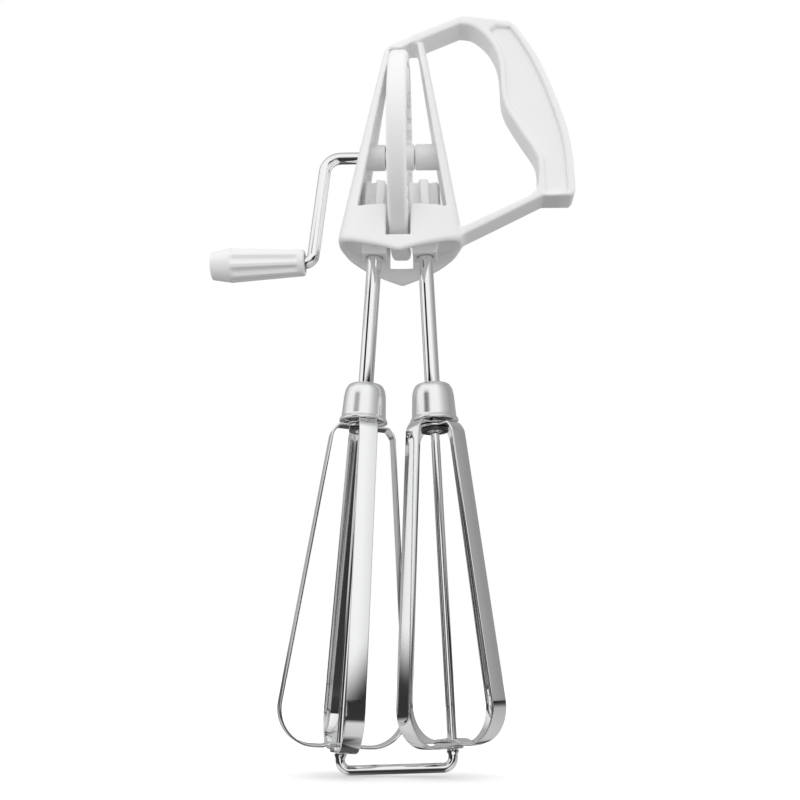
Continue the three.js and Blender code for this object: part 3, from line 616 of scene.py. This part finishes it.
def ring(inner, outer, low, high, ease=0.25, count=72):
    """A round ring or tube about Z with eased edges."""
    return turned(eased([(inner, low), (outer, low), (outer, high), (inner, high)], ease, 4), count)


piece("grip_lock_ring", on_pin(ring(2.8, 3.8, 33.7, 34.9)), "crank", ring_steel)


# Foot wire

def leg_point(side, along):
    """The [x, z] point at a height along a leg."""
    return np.array([side * (LEG_X - along * math.sin(SPREAD)), along * math.cos(SPREAD)])


def foot_wire():
    """One wire bent to a U, crimped under each cage."""
    corners = [leg_point(-1, 232.991), leg_point(-1, 1.77), leg_point(1, 3.3), leg_point(1, 232.991)]
    line = eased(corners, [0, 3.6, 3.6, 0], 16, False)
    fine = []
    for a, b in zip(line[:-1], line[1:]):
        long = np.linalg.norm(b - a) > 20 and abs(b[1] - a[1]) > 20
        steps = 620 if long else 1
        fine += [a + (b - a) * k / steps for k in range(steps)]
    fine.append(line[-1])

    def ear(path):
        """How far the wire is pinched at each point, from 0 to 1."""
        pinch = np.zeros(len(path))
        for side in (-1, 1):
            middle = leg_point(side, CAGE_LOW[side] - 1.3)
            away = np.linalg.norm(path - middle, axis=1)
            pinch += np.exp(-(away / 0.85) ** 2)
        return np.minimum(pinch, 1)

    return rod(fine, WIRE_RADIUS, 40, ear)


piece("foot_wire", foot_wire(), "frame", chrome_wire, 50)


# The pieces on each leg

def blade_line(low, top):
    """The outside of a closed strip from the middle of its bottom round over its eye."""
    half = [(0, low + STRIP), (4.35, low + STRIP), (6.9, low), (7.6, low), (25.6, low), (12.6, top - 3.4), (10, top),
            (0, top)]
    right = eased(half, [0, 3, 1, 0, 13.5, 6, 2.2, 0], 14, False)
    left = right[1:-1][::-1] * (-1, 1)
    line = np.concatenate([right, left])
    fine = []
    for a, b in zip(line, np.roll(line, -1, 0)):
        steps = max(1, round(np.linalg.norm(b - a) / 4))
        fine += [a + (b - a) * k / steps for k in range(steps)]
    return np.array(fine)


def plug(radius, low, high, count):
    """A mesh that cuts a round hole about Z."""
    return mesh_of(turned([(0, low), (radius, low), (radius, high), (0, high)], count), "hole")


def blade(low, top):
    """A closed strip with a round eye for the tube at its top and a hole for the wire at its bottom."""
    strip = mesh_of(ribbon(blade_line(low, top), STRIP_WIDTH, STRIP), "strip")
    outline = eased([(0, top - STRIP), (6.2, top - STRIP), (6.2, top), (0, top)], [0, 0.25, 0.25, 0], 3)
    return worked(strip, ("UNION", mesh_of(turned(outline, 72), "eye")),
                  ("DIFFERENCE", plug(ON_TUBE, top - 3, top + 2, 48)),
                  ("DIFFERENCE", plug(ON_WIRE, low - 2, low + 3, 40)))


def placed(mesh, side, turn=0.0):
    """A mesh in row coordinates, moved as on_leg moves points."""
    count = len(mesh.vertices)
    flat = np.empty(count * 3)
    mesh.vertices.foreach_get("co", flat)
    points, _ = on_leg((flat.reshape(-1, 3) * 1000 + ORIGIN, None), side, turn)
    mesh.vertices.foreach_set("co", ((points - ORIGIN) / 1000).ravel())
    mesh.update()
    return mesh


def bell():
    """A drawn sheet bell with a rolled lip."""
    low, high, sheet = 131.073, 146.393, 0.8
    corners = [(9.5, low), (9.5, low + 0.8), (8.75, low + 2.1), (8.25, low + 11), (7.75, low + 13.3),
               (6.6, high), (ON_TUBE, high)]
    outside = eased(corners, [0, 0.5, 1.6, 20, 4, 1.6, 0], 10, False)
    inside = outside + normals_of(outside) * sheet
    inside[0, 1] = low
    inside[:, 0] = np.maximum(inside[:, 0], ON_TUBE)
    lip = eased([outside[1], (9.5, low), (8.7, low), inside[1]], [0, 0.38, 0.38, 0], 6, False)[1:-1]
    return turned([*outside[1:], *inside[:0:-1], *lip[::-1]], 128)


def pinion():
    """A pinion with six soft teeth and a recess in its top."""
    teeth = 6
    count, pitch = teeth * 40, 360 / teeth
    angle = np.arange(count) / count * 360
    from_tooth = np.abs((angle - PINION_TURN) % pitch - pitch / 2)
    radius = np.interp(from_tooth, [0, 13.8, 19.85, 30], [7.75, 7.75, 5.3, 5.25])
    kernel = np.exp(-(np.linspace(-2, 2, 7) ** 2))
    radius = np.convolve(np.pad(radius, 3, mode="wrap"), kernel / kernel.sum(), "valid")
    low, high = 209.874, 232.704
    outside = [(radius - a, low + b) for a, b in ((0.5, 0), (0.15, 0.15), (0, 0.5))]
    outside += [(radius - a, high - b) for a, b in ((0, 0.5), (0.15, 0.15), (0.5, 0))]
    inside = [(3.75, high), (3.75, high - 2.4), (ON_TUBE, high - 2.4), (ON_TUBE, low)]
    return turned(outside + inside, count)


for side, name in SIDES.items():
    beater = "beater_" + name
    low, turn = CAGE_LOW[side], CAGE_TURN[side]

    def add_part(node, part, body, material, crease=38):
        piece(f"{node}_{name}", on_leg(part, side), body, material, crease)

    def add_blade(node, low, top, turn):
        piece(f"{node}_{name}", placed(blade(low, top), side, turn), beater, blade_steel)

    add_part("pinion", pinion(), beater, gear_white)
    add_part("tube", ring(ON_WIRE, TUBE_RADIUS, TUBE_LOW, TUBE_TOP, 0.15, 96), beater, chrome_tube)
    add_part("bell", bell(), beater, bell_steel, 50)
    add_blade("blade_outer", low, EYE_TOP, turn - math.pi / 2)
    add_blade("blade_inner", low + 1.2, EYE_TOP - 1.2, turn)
    add_part("thrust_collar", ring(ON_TUBE, 4.3, 205.161, 206.661), beater, ring_steel)
    add_part("guide_bush", ring(ON_TUBE, 4.3, 206.961, 209.561), "frame", bush_white)
    # The clamp rings' near-black finish is painted shade for the shadow under the bells.
    add_part("clamp_ring", ring(ON_TUBE, 5.4, TUBE_LOW, TUBE_LOW + 1.2), beater, clamp_painted_shade)
    add_part("wire_lock_ring", ring(ON_WIRE, 3.45, 230.591, 231.791), "frame", ring_steel)
    add_part("foot_washer", ring(ON_WIRE, 3.95, low - 0.4, low + 0.6), "frame", ring_steel)


# Stage: pale floor, white surroundings for the camera, and a studio of its own for reflections

def floor():
    """A pale floor that takes the object's shadow. Reflections see the studio's own floor in its place."""
    mesh = bpy.data.meshes.new("floor")
    z = (-0.02 - ORIGIN[2]) / 1000
    mesh.from_pydata([(-6, -6, z), (6, -6, z), (6, 6, z), (-6, 6, z)], [], [(0, 1, 2, 3)])
    material = bpy.data.materials.new("floor")
    material.use_nodes = True
    tree = material.node_tree
    shader = tree.nodes["Principled BSDF"]
    shader.inputs["Base Color"].default_value = (0.82, 0.82, 0.82, 1)
    shader.inputs["Roughness"].default_value = 0.9
    shader.inputs["Specular IOR Level"].default_value = 0
    shader.inputs["Emission Color"].default_value = (1, 1, 1, 1)
    shader.inputs["Emission Strength"].default_value = 0.17
    mesh.materials.append(material)
    obj = bpy.data.objects.new("floor", mesh)
    bpy.context.scene.collection.objects.link(obj)
    obj.visible_glossy = False
    obj.visible_diffuse = False


floor()

world = bpy.data.worlds.new("studio")
bpy.context.scene.world = world
world.use_nodes = True
tree = world.node_tree
backdrop = tree.nodes["Background"]
toward = add(tree, "SeparateXYZ", in_0=add(tree, "TexCoord").outputs["Generated"]).outputs
azimuth = figure(tree, "ARCTAN2", toward[0], figure(tree, "MULTIPLY", toward[1], -1.0))
azimuth = figure(tree, "MULTIPLY_ADD", azimuth, 0.5 / math.pi, 0.5)
height = figure(tree, "ARCSINE", toward[2])
height = figure(tree, "MULTIPLY_ADD", height, 1 / math.pi, 0.5)


def around(stops):
    """Levels by degrees to the right of the front, seen from the camera's side."""
    return ramp(tree, azimuth, [((a + 180) / 360, v) for a, v in stops])


def upward(stops, above=height):
    """Levels by degrees above the ground, or above another line."""
    return ramp(tree, above, [((a + 90) / 180, v) for a, v in stops])


def blend(factor, first, second):
    """First where the factor is 0, second where it is 1."""
    return figure(tree, "MULTIPLY_ADD", factor, figure(tree, "SUBTRACT", second, first), first)


def patch(sideways, vertical):
    """1 in one part of the studio, with soft edges, and 0 elsewhere."""
    return figure(tree, "MULTIPLY", around(sideways), upward(vertical))


# Light walls, greyer to the right and at the back, with one dark card on the left, end at a dark horizon.
walls = around([(-180, 0.4), (-130, 0.4), (-90, 0.9), (25, 0.95), (60, 0.5), (100, 0.3), (180, 0.4)])
card = patch([(-180, 0), (-54, 0), (-49, 1), (-26, 1), (-20, 0), (180, 0)],
             [(-90, 0), (8, 0), (9, 1), (24, 1), (29, 0), (90, 0)])
horizon = around([(-180, 0), (-90, 0.24), (-45, 0.42), (50, 0.42), (94, 0.22), (180, 0)])
horizon_lift = 20                             # degrees above the ground at level 1
above_horizon = figure(tree, "MULTIPLY_ADD", horizon, -horizon_lift / 180, height)
rise = upward([(-90, 0), (0.9, 0), (3.2, 1), (90, 1)], above_horizon)

# Below it the floor is pale, nearer to the horizon at the right and the back than in front.
front_floor = upward([(-90, 0.05), (-76, 0.08), (-62, 0.6), (-25, 0.7), (-15, 0.04), (8, 0.03), (9, 0), (90, 0)])
other_floor = upward([(-90, 0.05), (-60, 0.6), (-6, 0.45), (1, 0.1), (5, 0), (90, 0)])
not_front = around([(-180, 1), (-125, 1), (-108, 0), (48, 0), (66, 1), (180, 1)])
floor_share = around([(-180, 0.15), (-172, 0.15), (-164, 1), (164, 1), (172, 0.15), (180, 0.15)])

low_light = patch([(-180, 0), (-18, 0), (-12, 1), (12, 1), (18, 0), (180, 0)],
                  [(-90, 0), (-6, 0), (-3.5, 1), (8, 1), (9.5, 0), (90, 0)])
dark_floor = patch([(-180, 0), (-16, 0), (-11, 1), (11, 1), (16, 0), (180, 0)],
                   [(-90, 0), (-76, 0), (-70, 1), (-22, 1), (-15, 0), (90, 0)])
ceiling = upward([(-90, 0), (50, 0), (75, 1), (90, 1)])

studio = figure(tree, "MULTIPLY", blend(card, walls, 0.02), rise)
studio = figure(tree, "MULTIPLY_ADD", blend(not_front, front_floor, other_floor), floor_share, studio)
studio = blend(low_light, studio, 0.95)
studio = blend(dark_floor, studio, 0.035)
studio = blend(ceiling, studio, 0.55)

# What lights the object: soft light, strongest from above.
soft = upward([(-90, 0.06), (-60, 0.11), (-42, 0.45), (-20, 0.74), (0, 0.82), (30, 0.97), (60, 1), (90, 0.8)])
soft = figure(tree, "MULTIPLY", soft, 1.3)

rays = add(tree, "LightPath").outputs
mirror = figure(tree, "MAXIMUM", rays["Is Glossy Ray"], rays["Is Transmission Ray"])
light = blend(rays["Is Camera Ray"], blend(mirror, soft, studio), 1.0)
tree.links.new(light, backdrop.inputs["Color"])
backdrop.inputs["Strength"].default_value = 1.0


# Camera

yaw, pitch, roll = math.radians(-2.62), math.radians(15.14), math.radians(0.36)
ahead = Vector((math.sin(yaw) * math.cos(pitch), math.cos(yaw) * math.cos(pitch), math.sin(pitch)))
right = Vector((math.cos(yaw), -math.sin(yaw), 0))
up = right.cross(ahead)
right, up = right * math.cos(roll) + up * math.sin(roll), up * math.cos(roll) - right * math.sin(roll)
camera_data = bpy.data.cameras.new("camera")
camera_data.lens = 45.36
camera_data.sensor_width = 36
camera_data.clip_start = 0.01
camera = bpy.data.objects.new("camera", camera_data)
camera_place = Vector((np.array([18.002, -384.579, 36.0]) - ORIGIN) / 1000)
camera.matrix_world = Matrix.Translation(camera_place) @ Matrix((right, up, -ahead)).transposed().to_4x4()
bpy.context.scene.collection.objects.link(camera)
bpy.context.scene.camera = camera
bpy.context.scene.view_settings.view_transform = "Standard"
